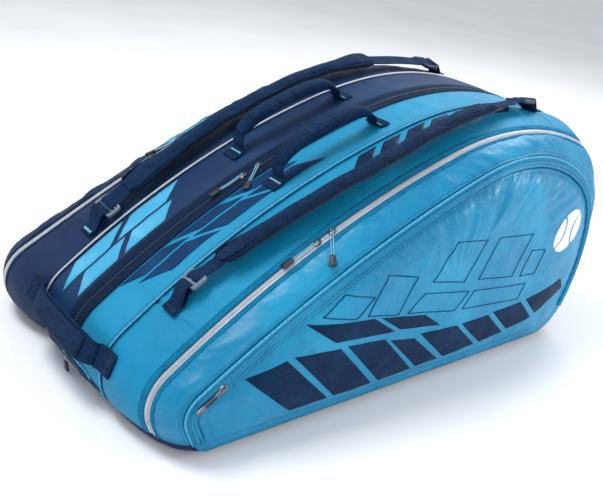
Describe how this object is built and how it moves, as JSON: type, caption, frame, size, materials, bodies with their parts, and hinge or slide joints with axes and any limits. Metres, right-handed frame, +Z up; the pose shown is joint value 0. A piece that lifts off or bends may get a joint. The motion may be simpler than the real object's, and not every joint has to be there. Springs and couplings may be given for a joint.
{
  "type": "racket tournament bag",
  "caption": "Soft wedge-shaped racket bag: side-by-side compartments that open by zip, padded shoulder straps, carry handles, side pockets and an end pocket.",
  "frame": {"origin": "centre of the bag's footprint, on the ground it stands on", "axes": "+X along the bag to the wide head end, +Y across it to the dark side, +Z up"},
  "size_m": [0.7906, 0.4526, 0.3513],
  "materials": {
    "teal_gloss": "glossy crinkled nylon",
    "teal_smooth": "smooth coated polyester",
    "navy_fabric": "smooth coated polyester",
    "lining": "plain woven lining",
    "webbing": "woven webbing",
    "strap_mesh": "padded air mesh with webbing edge",
    "cyan_piping": "satin piping cord",
    "silver_piping": "satin piping cord",
    "navy_piping": "satin piping cord",
    "silver_zip": "silver coated coil zip",
    "centre_zip": "navy zip under webbing bands",
    "cord_pull": "cord with a moulded tab",
    "metal": "dark nickel plated",
    "buckle": "moulded acetal",
    "stiffener": "plain board"
  },
  "bodies": {
    "root": {"base_board": "stiffener", "base_panel": "navy_fabric", "centre_zip_tape": "centre_zip", "end_pocket_liner": "lining", "near_divider": "lining", "near_inner_gusset": "teal_smooth", "near_middle_gusset": "teal_smooth", "near_seam_piping": "cyan_piping", "near_zip_inner_tape": "silver_zip", "near_strap_narrow_anchor": "webbing", "near_strap_head_anchor": "webbing", "far_divider": "lining", "far_inner_gusset": "navy_fabric", "far_middle_gusset": "navy_fabric", "far_seam_piping": "silver_piping", "far_zip_inner_tape": "silver_zip", "far_strap_narrow_anchor": "webbing", "far_strap_head_anchor": "webbing"},
    "near_cover": {"near_outer_gusset": "teal_gloss", "near_zip_outer_tape": "silver_zip", "near_side_panel": "teal_gloss", "near_panel_piping": "cyan_piping", "near_pocket_welt": "teal_gloss"},
    "near_pocket": {"near_pocket_front": "teal_gloss"},
    "far_cover": {"far_outer_gusset": "navy_fabric", "far_zip_outer_tape": "silver_zip", "far_side_panel": "navy_fabric", "far_panel_piping": "navy_piping", "far_pocket_welt": "navy_fabric"},
    "far_pocket": {"far_pocket_front": "navy_fabric"},
    "near_zip_narrow_slider": {"near_zip_narrow_slider": "metal"},
    "near_zip_narrow_pull": {"near_zip_narrow_pull": "cord_pull"},
    "near_zip_head_slider": {"near_zip_head_slider": "metal"},
    "near_zip_head_pull": {"near_zip_head_pull": "cord_pull"},
    "far_zip_narrow_slider": {"far_zip_narrow_slider": "metal"},
    "far_zip_narrow_pull": {"far_zip_narrow_pull": "cord_pull"},
    "far_zip_head_slider": {"far_zip_head_slider": "metal"},
    "far_zip_head_pull": {"far_zip_head_pull": "cord_pull"},
    "centre_zip_narrow_slider": {"centre_zip_narrow_slider": "metal"},
    "centre_zip_narrow_pull": {"centre_zip_narrow_pull": "cord_pull"},
    "centre_zip_head_slider": {"centre_zip_head_slider": "metal"},
    "centre_zip_head_pull": {"centre_zip_head_pull": "cord_pull"},
    "near_pocket_zip_slider": {"near_pocket_zip_slider": "metal"},
    "near_pocket_zip_pull": {"near_pocket_zip_pull": "metal"},
    "end_pocket": {"end_pocket_door": "teal_gloss", "end_pocket_slider": "metal"},
    "end_pocket_pull": {"end_pocket_pull": "cord_pull"},
    "near_handle": {"near_handle_webbing": "webbing", "near_handle_grip": "webbing"},
    "far_handle": {"far_handle_webbing": "webbing", "far_handle_grip": "webbing"},
    "end_handle": {"end_grab_handle": "webbing"},
    "near_strap": {"near_strap_pad": "strap_mesh", "near_head_buckle": "buckle", "near_ladder_lock": "buckle"},
    "far_strap": {"far_strap_pad": "strap_mesh", "far_head_buckle": "buckle", "far_ladder_lock": "buckle"}
  },
  "joints": [
    {"name": "near_cover_hinge", "type": "hinge", "parent": "root", "child": "near_cover", "pos_m": [0.0065, -0.2143, 0.01], "axis": [1, 0, 0], "range_deg": [0, 60]},
    {"name": "near_pocket_hinge", "type": "hinge", "parent": "near_cover", "child": "near_pocket", "pos_m": [0.0065, -0.2146, 0.0225], "axis": [1, 0, 0], "range_deg": [0, 25]},
    {"name": "far_cover_hinge", "type": "hinge", "parent": "root", "child": "far_cover", "pos_m": [0.0065, 0.2143, 0.01], "axis": [-1, 0, 0], "range_deg": [0, 60]},
    {"name": "far_pocket_hinge", "type": "hinge", "parent": "far_cover", "child": "far_pocket", "pos_m": [0.0065, 0.2146, 0.0225], "axis": [-1, 0, 0], "range_deg": [0, 25]},
    {"name": "near_zip_narrow_travel", "type": "hinge", "parent": "near_cover", "child": "near_zip_narrow_slider", "pos_m": [0.4591, -0.169, -0.9316], "axis": [0, 1, 0], "range_deg": [-7.54, 0]},
    {"name": "near_zip_narrow_swing", "type": "hinge", "parent": "near_zip_narrow_slider", "child": "near_zip_narrow_pull", "pos_m": [-0.1554, -0.169, 0.2168], "axis": [0, 1, 0], "range_deg": [0, 95]},
    {"name": "near_zip_head_travel", "type": "hinge", "parent": "near_cover", "child": "near_zip_head_slider", "pos_m": [0.4591, -0.169, -0.9316], "axis": [0, 1, 0], "range_deg": [0, 7.22]},
    {"name": "near_zip_head_swing", "type": "hinge", "parent": "near_zip_head_slider", "child": "near_zip_head_pull", "pos_m": [-0.1354, -0.169, 0.2273], "axis": [-0.6717, 0.6558, -0.3445], "range_deg": [0, 95]},
    {"name": "far_zip_narrow_travel", "type": "hinge", "parent": "far_cover", "child": "far_zip_narrow_slider", "pos_m": [2.8392, 0.169, -5.1338], "axis": [0, 1, 0], "range_deg": [-1.29, 0]},
    {"name": "far_zip_narrow_swing", "type": "hinge", "parent": "far_zip_narrow_slider", "child": "far_zip_narrow_pull", "pos_m": [-0.1815, 0.169, 0.2025], "axis": [0, 1, 0], "range_deg": [0, 95]},
    {"name": "far_zip_head_travel", "type": "hinge", "parent": "far_cover", "child": "far_zip_head_slider", "pos_m": [0.4591, 0.169, -0.9316], "axis": [0, 1, 0], "range_deg": [0, 7.47]},
    {"name": "far_zip_head_swing", "type": "hinge", "parent": "far_zip_head_slider", "child": "far_zip_head_pull", "pos_m": [-0.1404, 0.169, 0.2247], "axis": [0.237, 0.9637, 0.1228], "range_deg": [0, 95]},
    {"name": "centre_zip_narrow_travel", "type": "hinge", "parent": "root", "child": "centre_zip_narrow_slider", "pos_m": [0.3815, 0, -0.7818], "axis": [0, 1, 0], "range_deg": [-9.2, 0]},
    {"name": "centre_zip_narrow_swing", "type": "hinge", "parent": "centre_zip_narrow_slider", "child": "centre_zip_narrow_pull", "pos_m": [-0.1454, 0, 0.2338], "axis": [0, 1, 0], "range_deg": [0, 95]},
    {"name": "centre_zip_head_travel", "type": "hinge", "parent": "root", "child": "centre_zip_head_slider", "pos_m": [0.3815, 0, -0.7818], "axis": [0, 1, 0], "range_deg": [0, 7.45]},
    {"name": "centre_zip_head_swing", "type": "hinge", "parent": "centre_zip_head_slider", "child": "centre_zip_head_pull", "pos_m": [-0.1223, 0, 0.2454], "axis": [-0.515, 0.8192, -0.2526], "range_deg": [0, 95]},
    {"name": "near_pocket_zip_travel", "type": "hinge", "parent": "near_cover", "child": "near_pocket_zip_slider", "pos_m": [0.6166, -0.2174, -1.2359], "axis": [0, 1, 0], "range_deg": [0, 10.06]},
    {"name": "near_pocket_zip_swing", "type": "hinge", "parent": "near_pocket_zip_slider", "child": "near_pocket_zip_pull", "pos_m": [-0.2995, -0.221, 0.0917], "axis": [-0.5679, 0, 0.8231], "range_deg": [0, 120]},
    {"name": "end_pocket_hinge", "type": "hinge", "parent": "root", "child": "end_pocket", "pos_m": [-0.3623, 0, 0.0134], "axis": [0, -1, 0], "range_deg": [0, 70]},
    {"name": "end_pocket_pull_swing", "type": "hinge", "parent": "end_pocket", "child": "end_pocket_pull", "pos_m": [-0.3778, 0, 0.0347], "axis": [0, 1, 0], "range_deg": [0, 95]},
    {"name": "near_handle_swing", "type": "hinge", "parent": "root", "child": "near_handle", "pos_m": [-0.0543, -0.05, 0.2768], "axis": [0.9247, 0, 0.3807], "range_deg": [-40, 30]},
    {"name": "far_handle_swing", "type": "hinge", "parent": "root", "child": "far_handle", "pos_m": [-0.0403, 0.05, 0.2821], "axis": [0.9296, 0, 0.3685], "range_deg": [-30, 40]},
    {"name": "end_handle_swing", "type": "hinge", "parent": "root", "child": "end_handle", "pos_m": [-0.3729, 0, 0.0713], "axis": [0, 1, 0], "range_deg": [-25, 25]},
    {"name": "near_strap_swing", "type": "hinge", "parent": "root", "child": "near_strap", "pos_m": [-0.02, -0.112, 0.2542], "axis": [0.9454, 0, 0.3259], "range_deg": [-10, 6]},
    {"name": "far_strap_swing", "type": "hinge", "parent": "root", "child": "far_strap", "pos_m": [-0.0056, 0.102, 0.2538], "axis": [0.9527, 0, 0.3039], "range_deg": [-6, 10]}
  ],
  "couplings": [
    {"joint": "near_zip_narrow_travel", "follows": "near_cover_hinge", "ratio": -0.12567},
    {"joint": "near_zip_head_travel", "follows": "near_cover_hinge", "ratio": 0.12033},
    {"joint": "far_zip_narrow_travel", "follows": "far_cover_hinge", "ratio": -0.0215},
    {"joint": "far_zip_head_travel", "follows": "far_cover_hinge", "ratio": 0.1245},
    {"joint": "near_pocket_zip_travel", "follows": "near_pocket_hinge", "ratio": 0.4024}
  ]
}
